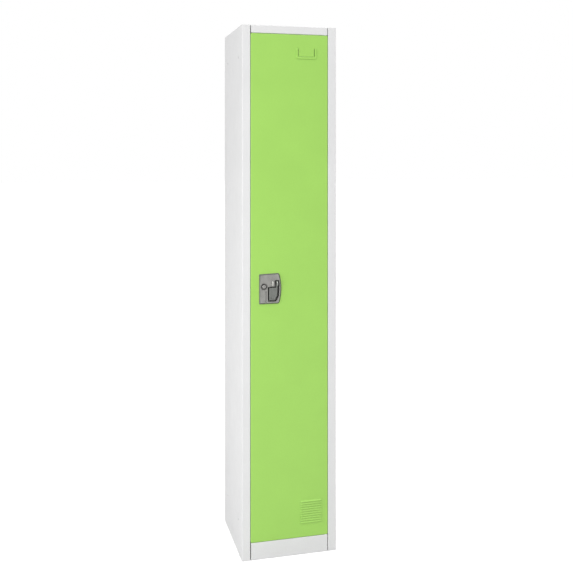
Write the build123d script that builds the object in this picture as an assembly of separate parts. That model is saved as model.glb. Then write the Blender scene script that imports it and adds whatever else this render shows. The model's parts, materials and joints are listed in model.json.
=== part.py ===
from build123d import *

import math
import os

# Single-tier steel school locker with one hinged door and a recessed key-lock handle.
#
# Millimetres. +Z is up and the door faces -Y. The origin is on the floor under the middle of the overall
# plan, which runs from the tips of the padlock ears to the rear screw heads. Depths inside the front are
# measured back from the front face, so FRONT + d is d behind it.

# ---- driving dimensions -------------------------------------------------------------------
HEIGHT = 1829.0
WIDTH = 335.0
DEPTH = 335.0
SHEET = 0.8
BEND = 1.2

STILE = 28.9
JAMB_DEPTH = 18.0
LIP = 10.6
REAR_RETURN = 15.0

DOOR_BOTTOM = 59.3
DOOR_TOP = 1801.0
DOOR_GAP = 1.05
DOOR_DEPTH = 15.0
DOOR_HEM = 12.0
DOOR_CORNER = 5.0
RAIL_GAP = 2.6

HINGE_FROM_EDGE = 8.0
HINGE_BEHIND_FRONT = 5.6
PIN_R = 2.0
PIN_REACH = 9.0
BUSH_R = 3.0

CARD_LEFT = 22.5
CARD_RIGHT = 97.0
CARD_BOTTOM = 1716.5
CARD_TOP = 1753.0
CARD_RIM = 7.5
CARD_RISE = 2.0
CARD_SLIT = 1.5
CARD_LOW_SLIT = 0.8
CARD_BRIDGE = 4.0
LOUVRE_X = 76.5
LOUVRE_LENGTH = 77.0
LOUVRE_LOW = 109.6
LOUVRE_PITCH = 8.0
LOUVRE_COUNT = 10
LOUVRE_RISE = 2.6
LOUVRE_TOP = 4.2
LOUVRE_KNEE = 0.2
LOUVRE_LIP = 1.5

SHELF_TOP = 1515.0
SHELF_DEPTH = 20.0
SHELF_HALF = 163.5
SHELF_FRONT = 25.0
SHELF_HEM = 12.0
HOOK_DROP = 46.0
HOOK_BEND = 26.0
HOOK_REACH = 32.0
HOOK_RISE = 24.0
COAT_HOOK_Z = 1432.0

LINK_HOLE_R = 3.5
LINK_Y = (62.0, 268.0)
LINK_Z = (117.0, 1723.0)
ANCHOR_HOLE_R = 4.0
ANCHOR_X = 100.0
ANCHOR_Z = (330.0, 1680.0)

EAR_OUT = 16.0
SCREW_HEAD = 2.2

# ---- worked out from them -----------------------------------------------------------------
FRONT = EAR_OUT - (EAR_OUT + DEPTH + SCREW_HEAD) / 2
BACK = FRONT + DEPTH
MIDDLE = (FRONT + BACK) / 2
SIDE = WIDTH / 2
WALL = SIDE - SHEET
JAMB = SIDE - STILE
DOOR_EDGE = JAMB - DOOR_GAP
RAIL_END = JAMB - RAIL_GAP
LINTEL_BOTTOM = DOOR_TOP + DOOR_GAP
SILL_TOP = DOOR_BOTTOM - DOOR_GAP
HINGE_X = DOOR_EDGE - HINGE_FROM_EDGE
HINGE_Y = FRONT + HINGE_BEHIND_FRONT
BUSH_FLANGE = DOOR_GAP - 0.1
REAR_SHEET = BACK - SHEET
FLANGE_REAR = REAR_SHEET - 0.1
TOP_HEM_X = RAIL_END + 0.6
TOP_HEM = 20.0
LIP_EDGE = JAMB - LIP

# ---- lock: X from the middle of the door, Z from the floor, _D depths behind the front face -----
LOCK_LEFT = -108.0
LOCK_RIGHT = -38.0
LOCK_BULGE = 8.0
LOCK_BOTTOM = 873.2
LOCK_TOP = 975.5
LOCK_SLANT = 2.5
PLATE_OUT = 5.0
PLATE_FLANK = 4.2
CYL_X = -91.4
CYL_Z = 933.0
BARREL_R = 7.5
PLUG_R = 5.5
RECESS_R = 11.6
RECESS_DEPTH = 4.0
CUP_FLOOR = 10.0
CUP_WALL = 2.0
POCKET_LEFT = -78.5
POCKET_RIGHT = -37.2
POCKET_BOTTOM = 881.0
POCKET_STEP = 932.5
POCKET_TOP = 954.5
SLOT_LEFT = -54.0
PADDLE_LEFT = -74.0
PADDLE_NECK = -48.5
PADDLE_FRONT = 2.5
PADDLE_THICK = 3.0
PADDLE_BOTTOM = 885.5
PADDLE_STEP = 928.5
PADDLE_TOP = 950.5
PIVOT_X = -72.0
PIVOT_D = 3.0
PIVOT_R = 1.5
ARM_Z = 902.5
BACKPLATE_D = 18.3
BACKPLATE_T = 1.5
CAM_D = 20.4
CAM_T = 2.0
CAM_HALF = 7.0
CAM_REACH = 44.0
PLUG_SQUARE = 6.0
TONGUE_D = 20.3
TONGUE_T = 2.5
TONGUE_HALF = 12.0
TONGUE_TIP = -137.0
TONGUE_END = -60.0
GUIDE_LEFT = -104.0
GUIDE_RIGHT = -86.0
TAB_X = -37.0
KEEPER_T = 0.8
EAR_Z = 943.5
EAR_HALF = 7.5
EAR_T = 3.4
EAR_HOLE_R = 3.8
FIXED_EAR_X = -64.5
GROOVE_X = -84.8
GROOVE_TOP = 914.0
GROOVE_HALF = 1.4
GRIP_Z = (889.0, 892.0, 895.0)
LOCK_OPENING = [
    (-105.0, 875.2),
    (-44.5, 875.2),
    (-35.6, 899.0),
    (-34.4, 930.0),
    (-34.4, 957.0),
    (-41.0, 972.0),
    (-105.0, 972.0),
]
LOCK_SCREWS = ((-72.0, 963.0), (-44.0, 962.0), (-98.0, 879.2))
PIN_ENDS = (POCKET_BOTTOM - 3.5, POCKET_STEP + 3.5)


# ---- shape helpers --------------------------------------------------------------------------
def block(x0, x1, y0, y1, z0, z1):
    """A box between two corners."""
    middle = ((x0 + x1) / 2, (y0 + y1) / 2, (z0 + z1) / 2)
    return Pos(*middle) * Box(abs(x1 - x0), abs(y1 - y0), abs(z1 - z0))


def rod(axis, centre, radius, start, end):
    """A round bar along 'x', 'y' or 'z'. Centre holds the other two coordinates, in order."""
    bar = Cylinder(radius, end - start, align=(Align.CENTER, Align.CENTER, Align.MIN))
    a, b = centre
    if axis == "x":
        return Pos(start, a, b) * Rot(0, 90, 0) * bar
    if axis == "y":
        return Pos(a, start, b) * Rot(-90, 0, 0) * bar
    return Pos(a, b, start) * bar


def polygon(corners, radii=0.0):
    """A face with each corner rounded to its radius."""
    sizes = radii if isinstance(radii, (list, tuple)) else [radii] * len(corners)
    if not any(sizes):
        return make_face(Polyline(*corners, close=True))
    return make_face(FilletPolyline(*corners, radius=list(sizes), close=True))


def prism(axis, face, start, end):
    """Extrudes a face along an axis. It is drawn in (y, z), (x, z) or (x, y)."""
    if axis == "x":
        return extrude(Plane.YZ.offset(start) * face, end - start)
    if axis == "y":
        return extrude(Plane.XZ.offset(-end) * face, end - start)
    return extrude(Plane.XY.offset(start) * face, end - start)


def bent_strip(path, thickness=SHEET, bend=BEND):
    """The section of a folded sheet. The path is one face, and the metal lies on its left."""
    steps = []
    for (x0, y0), (x1, y1) in zip(path, path[1:]):
        length = math.hypot(x1 - x0, y1 - y0)
        steps.append(((x1 - x0) / length, (y1 - y0) / length))
    near, far = [0.0], [0.0]
    other = [(path[0][0] - steps[0][1] * thickness, path[0][1] + steps[0][0] * thickness)]
    for (x, y), before, after in zip(path[1:-1], steps, steps[1:]):
        turn = before[0] * after[1] - before[1] * after[0]
        share = thickness / (1 + before[0] * after[0] + before[1] * after[1])
        other.append((x - (before[1] + after[1]) * share, y + (before[0] + after[0]) * share))
        near.append(bend + thickness if turn > 0 else bend)
        far.append(bend if turn > 0 else bend + thickness)
    last = steps[-1]
    other.append((path[-1][0] - last[1] * thickness, path[-1][1] + last[0] * thickness))
    near.append(0.0)
    far.append(0.0)
    return polygon(list(path) + other[::-1], near + far[::-1])


def mirrored(shape):
    """The same piece on the other side of the locker."""
    return mirror(shape, about=Plane.YZ)


def spin(profile):
    """Turns an (r, z) profile about the Z axis."""
    return revolve(Plane.XZ * polygon(profile), Axis.Z)


def placed(shape, point, towards):
    """Stands a piece made along +Z at a point, with +Z along towards."""
    return Plane(origin=point, z_dir=towards) * shape


def pan_screw(shank_r, length, head_r=3.8, head_h=SCREW_HEAD):
    """A cross-recessed pan-head screw: head above z 0, shank below."""
    head = Cylinder(head_r, head_h, align=(Align.CENTER, Align.CENTER, Align.MIN))
    head = fillet(head.edges().sort_by(Axis.Z)[-1], head_h * 0.6)
    recess = Pos(0, 0, head_h) * (Box(head_r, 0.9, 2.0) + Box(0.9, head_r, 2.0))
    tip = 0.8
    shank = spin([(0, 0), (shank_r, 0), (shank_r, tip - length), (shank_r - tip, -length), (0, -length)])
    return head + shank - recess


def rivet(shank_r, grip, head_r=3.2, head_h=1.0):
    """A domed rivet whose grip runs from z 0 down to -grip, with a flat set head below."""
    crown = [(head_r * 0.9, head_h * 0.5), (head_r * 0.6, head_h * 0.9), (0, head_h)]
    dome = spin([(0, 0), (head_r, 0)] + crown)
    shank = Cylinder(shank_r, grip, align=(Align.CENTER, Align.CENTER, Align.MAX))
    tail = Pos(0, 0, -grip) * Cylinder(shank_r * 1.4, 0.9, align=(Align.CENTER, Align.CENTER, Align.MAX))
    return dome + shank + tail


def holes(axis, centres, radius, start, end):
    """Drills for a list of centres, as one shape to subtract."""
    return Part() + [rod(axis, c, radius, start, end) for c in centres]


def save(name, *pieces):
    """Writes a node. Several pieces stay separate solids."""
    solids = [s for piece in pieces for s in piece.solids()]
    shape = solids[0] if len(solids) == 1 else Compound(children=solids)
    shape.label = name
    export_step(shape, f"parts/{name}.step")


# ---- fastener places, used by both the panels and the fasteners ------------------------------
TOP_SCREW_YZ = [(FRONT + d, HEIGHT - 11.0) for d in (60.0, 167.5, 275.0)]
KICK_SCREW_YZ = [(FRONT + 9.0, z) for z in (18.0, 42.0)]
BACK_SCREW_SIDE_Z = (90.0, 490.0, 915.0, 1340.0, 1770.0)
BACK_SCREW_SIDE_X = SIDE - 7.5
BACK_SCREW_DECK = [(x, z) for z in (52.5, HEIGHT - 10.0) for x in (-70.0, 70.0)]
SHELF_SCREW_XY = [(s * 157.0, FRONT + d) for s in (-1, 1) for d in (95.0, 255.0)]
SHELF_HOOK_XY = [(0.0, MIDDLE + d) for d in (-9.0, 9.0)]
BUMPER_Z = (300.0, 760.0, 1560.0)
BUMPER_X = -JAMB + LIP / 2
KEEPER_RIVET_Z = (880.0, 954.0)
NOTCH = (885.5, 919.5)
SCREW_R = 1.9
SCREW_HOLE_R = 2.0


# ---- carcass --------------------------------------------------------------------------------
def left_side_panel():
    section = [
        (-SIDE + REAR_RETURN, REAR_SHEET),
        (-SIDE, REAR_SHEET),
        (-SIDE, FRONT),
        (-JAMB, FRONT),
        (-JAMB, FRONT + JAMB_DEPTH),
        (-LIP_EDGE, FRONT + JAMB_DEPTH),
    ]
    panel = prism("z", bent_strip(section), 0, HEIGHT)
    jamb_end = FRONT + JAMB_DEPTH + SHEET
    corner = BEND + SHEET
    cap = [(-SIDE, FRONT), (-JAMB, FRONT), (-JAMB, jamb_end + 1), (-TOP_HEM_X, jamb_end + 1)]
    cap += [(-TOP_HEM_X, REAR_SHEET - corner), (-SIDE, REAR_SHEET - corner)]
    top_cap = polygon(cap, [corner, corner, 0, 0, 0, 0])
    panel += prism("z", top_cap, HEIGHT - SHEET, HEIGHT)
    panel += prism("z", top_cap, 0, SHEET)
    hem = (jamb_end + 1, FLANGE_REAR - 1, HEIGHT - TOP_HEM, HEIGHT - SHEET / 2)
    panel += block(-TOP_HEM_X - SHEET, -TOP_HEM_X, *hem)
    lip_cut = (-JAMB, 0, FRONT + JAMB_DEPTH - 1, jamb_end)
    panel -= block(*lip_cut, -1, SILL_TOP + SHEET)
    panel -= block(*lip_cut, LINTEL_BOTTOM - SHEET, HEIGHT + 1)
    links = [(FRONT + d, z) for d in LINK_Y for z in LINK_Z]
    panel -= holes("x", links, LINK_HOLE_R, -SIDE - 1, -SIDE + 2)
    panel -= holes("x", TOP_SCREW_YZ, SCREW_HOLE_R, -TOP_HEM_X - 2, -TOP_HEM_X + 1)
    panel -= holes("x", KICK_SCREW_YZ, SCREW_HOLE_R, -JAMB - 2, -JAMB + 1)
    rear = [(-BACK_SCREW_SIDE_X, z) for z in BACK_SCREW_SIDE_Z]
    return panel - holes("y", rear, SCREW_HOLE_R, REAR_SHEET - 3, BACK)


def latch_side(panel):
    """The latch side's panel: its stop lip also takes the bumpers, and has a notch for the bolt."""
    lip = (FRONT + JAMB_DEPTH - 1.5, FRONT + JAMB_DEPTH + 2)
    panel -= block(-JAMB, -LIP_EDGE + 1, *lip, *NOTCH)
    panel -= holes("y", [(BUMPER_X, z) for z in BUMPER_Z], 3.0, *lip)
    return panel - holes("y", [(BUMPER_X, z) for z in KEEPER_RIVET_Z], 1.7, *lip)


def back_panel():
    panel = block(-SIDE + 1, SIDE - 1, REAR_SHEET, BACK, 1, HEIGHT - 1)
    spots = [(s * BACK_SCREW_SIDE_X, z) for s in (-1, 1) for z in BACK_SCREW_SIDE_Z]
    panel -= holes("y", spots + BACK_SCREW_DECK, SCREW_HOLE_R, REAR_SHEET - 1, BACK + 1)
    anchors = [(x, z) for x in (-ANCHOR_X, ANCHOR_X) for z in ANCHOR_Z]
    return panel - holes("y", anchors, ANCHOR_HOLE_R, REAR_SHEET - 1, BACK + 1)


def top_panel():
    """The roof, folded down in front as the lintel over the door and behind as a flange."""
    section = [
        (FLANGE_REAR, HEIGHT - TOP_HEM),
        (FLANGE_REAR, HEIGHT),
        (FRONT, HEIGHT),
        (FRONT, LINTEL_BOTTOM),
        (FRONT + JAMB_DEPTH - 0.5, LINTEL_BOTTOM),
        (FRONT + JAMB_DEPTH - 0.5, LINTEL_BOTTOM + 10),
    ]
    roof = prism("x", bent_strip(section), -RAIL_END, RAIL_END)
    for side in (-1, 1):
        inner, outer = side * (RAIL_END - SHEET), side * RAIL_END
        low, high = sorted((inner, outer))
        under_roof = HEIGHT - SHEET
        roof += block(low, high, FRONT + SHEET, FLANGE_REAR - SHEET, HEIGHT - TOP_HEM, under_roof)
        lintel_end = (FRONT + SHEET, FRONT + JAMB_DEPTH - 1, LINTEL_BOTTOM + SHEET, under_roof)
        roof += block(low, high, *lintel_end)
    roof -= holes("x", TOP_SCREW_YZ, SCREW_HOLE_R, -RAIL_END - 1, RAIL_END + 1)
    roof -= holes("y", BACK_SCREW_DECK, SCREW_HOLE_R, FLANGE_REAR - 3, FLANGE_REAR + 1)
    return roof - rod("z", (HINGE_X, HINGE_Y), PIN_R + 0.05, LINTEL_BOTTOM - 1, LINTEL_BOTTOM + 2)


def bottom_panel():
    """The floor of the locker, folded down in front as the kick plate."""
    section = [
        (FLANGE_REAR, SILL_TOP - REAR_RETURN),
        (FLANGE_REAR, SILL_TOP),
        (FRONT, SILL_TOP),
        (FRONT, 0),
        (FRONT + REAR_RETURN, 0),
    ]
    floor = prism("x", bent_strip(section), -RAIL_END, RAIL_END)
    wing_y = (FRONT + JAMB_DEPTH + 2, FLANGE_REAR - 1.5)
    for side in (-1, 1):
        wall, flange = side * (WALL - 0.1), side * (WALL - 0.1 - SHEET)
        low, high = sorted((wall, side * (RAIL_END - 1)))
        floor += block(low, high, *wing_y, SILL_TOP - SHEET, SILL_TOP)
        low, high = sorted((wall, flange))
        floor += block(low, high, *wing_y, SILL_TOP - REAR_RETURN, SILL_TOP)
        low, high = sorted((side * RAIL_END, side * (RAIL_END - SHEET)))
        floor += block(low, high, FRONT + SHEET, FRONT + REAR_RETURN, SHEET / 2, SILL_TOP - SHEET / 2)
    floor -= holes("x", KICK_SCREW_YZ, SCREW_HOLE_R, -RAIL_END - 1, RAIL_END + 1)
    floor -= holes("y", BACK_SCREW_DECK, SCREW_HOLE_R, FLANGE_REAR - 3, FLANGE_REAR + 1)
    return floor - rod("z", (HINGE_X, HINGE_Y), PIN_R + 0.05, SILL_TOP - 3, SILL_TOP + 1)


def shelf_pan():
    half, low = SHELF_HALF, SHELF_TOP - SHELF_DEPTH
    front, rear, hem = FRONT + SHELF_FRONT, BACK - 4, SHELF_HEM
    pan = block(-half, half, front, rear, low, SHELF_TOP)
    pan = fillet(pan.edges().filter_by(Axis.X).group_by(Axis.Z)[-1], BEND + SHEET)
    wall = half - SHEET
    pan -= block(-wall, wall, front + SHEET, rear - SHEET, low + SHEET, SHELF_TOP - SHEET)
    pan -= block(-half + hem, half - hem, front + hem, rear - hem, low - 1, low + SHEET)
    pan -= holes("z", SHELF_SCREW_XY, SCREW_HOLE_R, low - 1, low + 2)
    return pan - holes("z", SHELF_HOOK_XY, 1.7, SHELF_TOP - 2, SHELF_TOP + 1)


def left_shelf_bracket():
    """An angle on the side wall that the shelf's side hem rests on."""
    seat, thick = SHELF_TOP - SHELF_DEPTH, 1.5
    section = [(-WALL + 20, seat), (-WALL, seat), (-WALL, seat - 22)]
    angle = prism("y", bent_strip(section, thick), FRONT + 60, FRONT + 295)
    return angle - holes("z", SHELF_SCREW_XY, SCREW_HOLE_R, seat - 3, seat + 1)


def hook_prong(points, tip_r=4.6, wire_r=2.9):
    """A round prong bent along points, with a ball on its end."""
    path = FilletPolyline(*points, radius=9.0)
    start = Vector(*points[0])
    along = Vector(*points[1]) - start
    prong = sweep(Plane(origin=start, z_dir=along) * Circle(wire_r), path=path)
    return prong + Pos(*points[-1]) * Sphere(tip_r)


def ceiling_hook():
    """A plate under the shelf with one prong to each side."""
    base_top = SHELF_TOP - SHEET
    base_z = base_top - 2.0
    low, high = MIDDLE - 17, MIDDLE + 17
    plate = prism("z", polygon([(-11, low), (11, low), (11, high), (-11, high)], 5.0), base_z, base_top)
    drop = base_z - HOOK_DROP
    for side in (-1, 1):
        bend_to = [(0, drop), (side * HOOK_BEND, drop), (side * HOOK_REACH, drop + HOOK_RISE)]
        plate += hook_prong([(0, MIDDLE, base_z + 1)] + [(x, MIDDLE, z) for x, z in bend_to])
    return plate - holes("z", SHELF_HOOK_XY, 1.7, base_z - 1, base_top + 1)


def left_coat_hook():
    """A single-prong hook welded to the side wall below the shelf."""
    y, z = MIDDLE + 15, COAT_HOOK_Z
    face = [(y - 9, z - 18), (y + 9, z - 18), (y + 9, z + 18), (y - 9, z + 18)]
    plate = prism("x", polygon(face, 5.0), -WALL, -WALL + 2)
    return plate + hook_prong([(-WALL + 1, y, z - 8), (-WALL + 24, y, z - 8), (-WALL + 32, y, z + 15)])


def frame_hinge_bracket(z0, z1):
    """A thick plate welded to a rail that holds a hinge pin."""
    plate = block(HINGE_X - 22, RAIL_END - SHEET, FRONT + BEND + SHEET, FRONT + JAMB_DEPTH - 2.5, z0, z1)
    return plate - rod("z", (HINGE_X, HINGE_Y), PIN_R, z0 - 1, z1 + 1)


def hinge_pin(low, high, head_low):
    """A headed pin. The head is inside the rail."""
    z = low if head_low else high - 2.5
    pin = rod("z", (HINGE_X, HINGE_Y), PIN_R, low, high)
    nose = pin.edges().sort_by(Axis.Z)[-1 if head_low else 0]
    return chamfer(nose, 0.8) + rod("z", (HINGE_X, HINGE_Y), PIN_R + 1.4, z, z + 2.5)


def spring_keeper():
    """A spring steel strip across the notch. It holds the bolt, and gives when the door is slammed."""
    y = FRONT + JAMB_DEPTH + SHEET
    inner, outer = -LIP_EDGE - 0.2, -JAMB + 0.8
    low, high = KEEPER_RIVET_Z[0] - 7, KEEPER_RIVET_Z[1] + 7
    face = polygon([(outer, low), (inner, low), (inner, high), (outer, high)], 2.0)
    strip = prism("y", face, y, y + KEEPER_T)
    return strip - holes("y", [(BUMPER_X, z) for z in KEEPER_RIVET_Z], 1.7, y - 1, y + 2)


def bumper(z):
    """A rubber button pushed through the stop lip, just clear of the closed door."""
    reach = JAMB_DEPTH - DOOR_DEPTH - 0.2
    profile = [(0, -3.2), (2.2, -3.2), (3.7, -SHEET - 0.05), (2.95, -SHEET - 0.05), (2.95, 0)]
    profile += [(4.0, 0), (4.0, reach - 1), (3.2, reach), (0, reach)]
    return placed(spin(profile), (BUMPER_X, FRONT + JAMB_DEPTH, z), (0, -1, 0))


# ---- door -----------------------------------------------------------------------------------
def card_bars(inset, y0, y1):
    """Three bars of the card frame, shrunk by inset, between two depths."""
    left, right, low, high = CARD_LEFT + inset, CARD_RIGHT - inset, CARD_BOTTOM + inset, CARD_TOP - inset
    rim = CARD_RIM - 2 * inset
    outer = [(left, high), (left, low), (right, low), (right, high), (right - rim, high)]
    inner = [(right - rim, low + rim), (left + rim, low + rim), (left + rim, high)]
    soft = max(0.6, 4.0 - inset)
    return prism("y", polygon(outer + inner, [0, soft, soft, 0, 0, 1.0, 1.0, 0]), y0, y1)


def add_card_frame(skin):
    """Presses a U-shaped card frame out of the skin, open at the top and slit along its inner edges."""
    rim = card_bars(0, FRONT - CARD_RISE, FRONT + SHEET / 2)
    rim = fillet(rim.faces().sort_by(Axis.Y)[0].edges(), 1.1)
    skin += rim
    skin -= card_bars(SHEET, FRONT - CARD_RISE + SHEET, FRONT + SHEET + 1)
    x0, x1, z0 = CARD_LEFT + CARD_RIM, CARD_RIGHT - CARD_RIM, CARD_BOTTOM + CARD_RIM
    cut = (FRONT - 0.01, FRONT + SHEET + 1)
    skin -= block(x0, x0 + CARD_SLIT, *cut, z0, CARD_TOP)
    skin -= block(x1 - CARD_SLIT, x1, *cut, z0, CARD_TOP)
    return skin - block(x0 + CARD_BRIDGE, x1 - CARD_BRIDGE, *cut, z0, z0 + CARD_LOW_SLIT)


def louvre_hood(inset, z):
    """A louvre's hood: a sloping top, a flat front face and rounded upper ends, open below."""
    front = FRONT - LOUVRE_RISE + inset
    root = FRONT + SHEET / 2 + 2 * inset
    top = z + LOUVRE_TOP - 1.8 * inset
    knee = z + LOUVRE_KNEE - 0.4 * inset
    low = z - LOUVRE_LIP - inset
    wedge = [(root, top), (FRONT, top), (front, knee), (front, low), (root, low)]
    left = LOUVRE_X - LOUVRE_LENGTH / 2 + inset
    right = LOUVRE_X + LOUVRE_LENGTH / 2 - inset
    body = prism("x", polygon(wedge, [0, 0, 1.6, 0, 0]), left, right)
    plan = [(left, low), (right, low), (right, top), (left, top)]
    round_end = 3.2 - inset
    return body & prism("y", polygon(plan, [0, 0, round_end, round_end]), FRONT - 8, FRONT + 8)


def add_louvres(skin):
    """Lances a column of downward-opening louvres."""
    for n in range(LOUVRE_COUNT):
        z = LOUVRE_LOW + n * LOUVRE_PITCH
        skin += louvre_hood(0, z)
        skin -= louvre_hood(SHEET, z)
    return skin


def door_panel():
    low, high, rear = DOOR_BOTTOM, DOOR_TOP, FRONT + DOOR_DEPTH
    pan = block(-DOOR_EDGE, DOOR_EDGE, FRONT, rear, low, high)
    pan = fillet(pan.edges().filter_by(Axis.Y), DOOR_CORNER)
    pan = fillet(pan.faces().sort_by(Axis.Y)[0].edges(), BEND + SHEET)
    wall = DOOR_EDGE - SHEET
    hollow = block(-wall, wall, FRONT + SHEET, rear - SHEET, low + SHEET, high - SHEET)
    hollow = fillet(hollow.edges().filter_by(Axis.Y), DOOR_CORNER - SHEET)
    pan -= fillet(hollow.faces().sort_by(Axis.Y)[0].edges(), BEND)
    hem = DOOR_HEM
    pan -= block(-DOOR_EDGE + hem, DOOR_EDGE - hem, rear - 2 * SHEET, rear + 1, low + hem, high - hem)
    pan -= prism("y", polygon(LOCK_OPENING, 3.0), FRONT - 1, FRONT + 2)
    for z in (low, high):
        pan -= rod("z", (HINGE_X, HINGE_Y), BUSH_R + 0.05, z - 2, z + 2)
    return add_louvres(add_card_frame(pan))


def door_stiffener():
    """A hat channel down the inside of the door."""
    inside = FRONT + SHEET
    crown = FRONT + DOOR_DEPTH - 3 * SHEET - 0.2
    left, right, flange = -18, 6, 12
    section = [(left - flange, inside), (left, inside), (left, crown)]
    section += [(right, crown), (right, inside), (right + flange, inside)]
    return prism("z", bent_strip(section), DOOR_BOTTOM + 2, DOOR_TOP - 2)


def door_hinge_bracket(face, up):
    """A thick angle inside a corner of the door that carries a hinge bush."""
    inner, thick = DOOR_EDGE - SHEET, 1.5
    path = [(HINGE_X - 16, face), (inner, face), (inner, face + up * 40)]
    section = bent_strip(path if up > 0 else path[::-1], thick, DOOR_CORNER - SHEET - thick)
    angle = prism("y", section, FRONT + SHEET + BEND, FRONT + DOOR_DEPTH - 2 * SHEET)
    return angle - rod("z", (HINGE_X, HINGE_Y), BUSH_R + 0.05, face - 3, face + 3)


def hinge_bush(face, up):
    """A flanged nylon bush. The flange is outside the door and spaces it from the rail."""
    far = face + up * 6.0
    body = rod("z", (HINGE_X, HINGE_Y), BUSH_R, min(face, far), max(face, far))
    rim = face - up * BUSH_FLANGE
    body += rod("z", (HINGE_X, HINGE_Y), BUSH_R + 0.9, min(face, rim), max(face, rim))
    return body - rod("z", (HINGE_X, HINGE_Y), PIN_R + 0.05, face - 9, face + 9)


# ---- lock -----------------------------------------------------------------------------------
def escutcheon_face():
    """A plate straight on the latch side and bowed on the other, with a slightly slanted top."""
    top_right = LOCK_TOP + LOCK_SLANT
    middle = (LOCK_BOTTOM + top_right) / 2
    left_corners = [(LOCK_LEFT, LOCK_TOP), (LOCK_LEFT, LOCK_BOTTOM)]
    sides = Polyline((LOCK_RIGHT, top_right), *left_corners, (LOCK_RIGHT, LOCK_BOTTOM))
    crest = (LOCK_RIGHT + LOCK_BULGE, middle)
    bow = ThreePointArc((LOCK_RIGHT, LOCK_BOTTOM), crest, (LOCK_RIGHT, top_right))
    return fillet(make_face(sides + bow).vertices().sort_by(Axis.X)[-2:], 7.0)


def pocket_face(grow=0.0):
    """The boot-shaped hand pocket, or its outline grown by a wall."""
    corners = [
        (POCKET_LEFT, POCKET_BOTTOM),
        (-48.5, POCKET_BOTTOM),
        (-39.2, 899.0),
        (POCKET_RIGHT, 925.0),
        (POCKET_RIGHT, 944.0),
        (-40.0, POCKET_TOP),
        (SLOT_LEFT, POCKET_TOP),
        (SLOT_LEFT, POCKET_STEP),
        (POCKET_LEFT, POCKET_STEP),
    ]
    face = polygon(corners, [4.0, 6.0, 9.0, 12.0, 6.0, 3.0, 3.5, 2.5, 4.0])
    return offset(face, grow) if grow else face


def padlock_ear(x0, base):
    """An upright ear with a hole for a padlock's shackle."""
    tip = FRONT - EAR_OUT
    low, high = EAR_Z - EAR_HALF, EAR_Z + EAR_HALF
    face = polygon([(base, low), (tip, low), (tip, high), (base, high)], [0, 6.0, 6.0, 0])
    ear = prism("x", face, x0, x0 + EAR_T)
    return ear - rod("x", (tip + EAR_HOLE_R + 3.0, EAR_Z), EAR_HOLE_R, x0 - 1, x0 + EAR_T + 1)


def lock_housing():
    plate = prism("y", escutcheon_face(), FRONT - PLATE_OUT, FRONT)
    plate = chamfer(plate.faces().sort_by(Axis.Y)[0].edges(), PLATE_FLANK)
    plate = fillet(plate.edges().filter_by(Axis.Y).sort_by(Axis.X)[:2], 1.0)
    body = plate + prism("y", pocket_face(CUP_WALL), FRONT - 1, FRONT + CUP_FLOOR + 2.5)
    body += rod("y", (CYL_X, CYL_Z), BARREL_R + 3, FRONT - 1, FRONT + 10)
    for x, z in LOCK_SCREWS:
        body += rod("y", (x, z), 3.5, FRONT - 1, FRONT + BACKPLATE_D)
    body -= prism("y", pocket_face(), FRONT - PLATE_OUT - 1, FRONT + CUP_FLOOR)
    body -= rod("y", (CYL_X, CYL_Z), BARREL_R + 0.1, FRONT - PLATE_OUT - 1, FRONT + 11)
    body -= rod("y", (CYL_X, CYL_Z), RECESS_R, FRONT - PLATE_OUT - 1, FRONT - PLATE_OUT + RECESS_DEPTH)
    for x, z in LOCK_SCREWS:
        body -= rod("y", (x, z), SCREW_R, FRONT + 6, FRONT + BACKPLATE_D + 1)
    body += padlock_ear(FIXED_EAR_X, FRONT - PLATE_OUT + 0.5)
    groove = (FRONT - PLATE_OUT - 1, FRONT - PLATE_OUT + 2.4)
    body -= block(GROOVE_X - GROOVE_HALF, GROOVE_X + GROOVE_HALF, *groove, LOCK_BOTTOM - 1, GROOVE_TOP)
    body -= rod("y", (GROOVE_X, GROOVE_TOP), 2.8, *groove)
    body -= rod("z", (PIVOT_X, FRONT + PIVOT_D), PIVOT_R, *PIN_ENDS)
    arm = (PIVOT_X - 2.6, PIVOT_X + 8.6, FRONT + CUP_FLOOR - 1, FRONT + CUP_FLOOR + 4)
    return body - block(*arm, ARM_Z - 6, ARM_Z + 6)


def lock_backplate():
    d0, d1 = FRONT + BACKPLATE_D, FRONT + BACKPLATE_D + BACKPLATE_T
    plate = prism("y", polygon([(-106, 874), (-34, 874), (-34, 973), (-106, 973)], 4.0), d0, d1)
    plate += block(TAB_X, TAB_X + 1.5, d1 - 0.5, d1 + 6.2, ARM_Z - 6.5, ARM_Z + 6.5)
    plate -= rod("x", (FRONT + TONGUE_D + TONGUE_T / 2, ARM_Z), 1.6, TAB_X - 1, TAB_X + 3)
    plate -= rod("y", (CYL_X, CYL_Z), BARREL_R + 0.6, d0 - 1, d1 + 1)
    plate -= holes("y", LOCK_SCREWS, SCREW_HOLE_R, d0 - 1, d1 + 1)
    plate -= block(PIVOT_X - 3, PIVOT_X + 14, d0 - 1, d1 + 1, ARM_Z - 6, ARM_Z + 6)
    return plate - block(PIVOT_X + 13, TAB_X - 1.5, d0 - 1, d1 + 1, ARM_Z - 4, ARM_Z + 4)


def cylinder_barrel():
    """The fixed shell of the key cylinder, with a flange on the floor of its recess."""
    bore, flange, nose = PLUG_R + 0.05, BARREL_R + 1.3, BARREL_R - 0.6
    tail, seat, out = 0.1 - CAM_D, PLATE_OUT - RECESS_DEPTH, PLATE_OUT
    profile = [(bore, tail), (BARREL_R, tail), (BARREL_R, seat), (flange, seat), (flange, seat + 1.0)]
    profile += [(nose, seat + 1.4), (nose, out), (nose - 0.6, out + 0.6), (bore, out + 0.6)]
    return placed(spin(profile), (CYL_X, FRONT, CYL_Z), (0, -1, 0))


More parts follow.
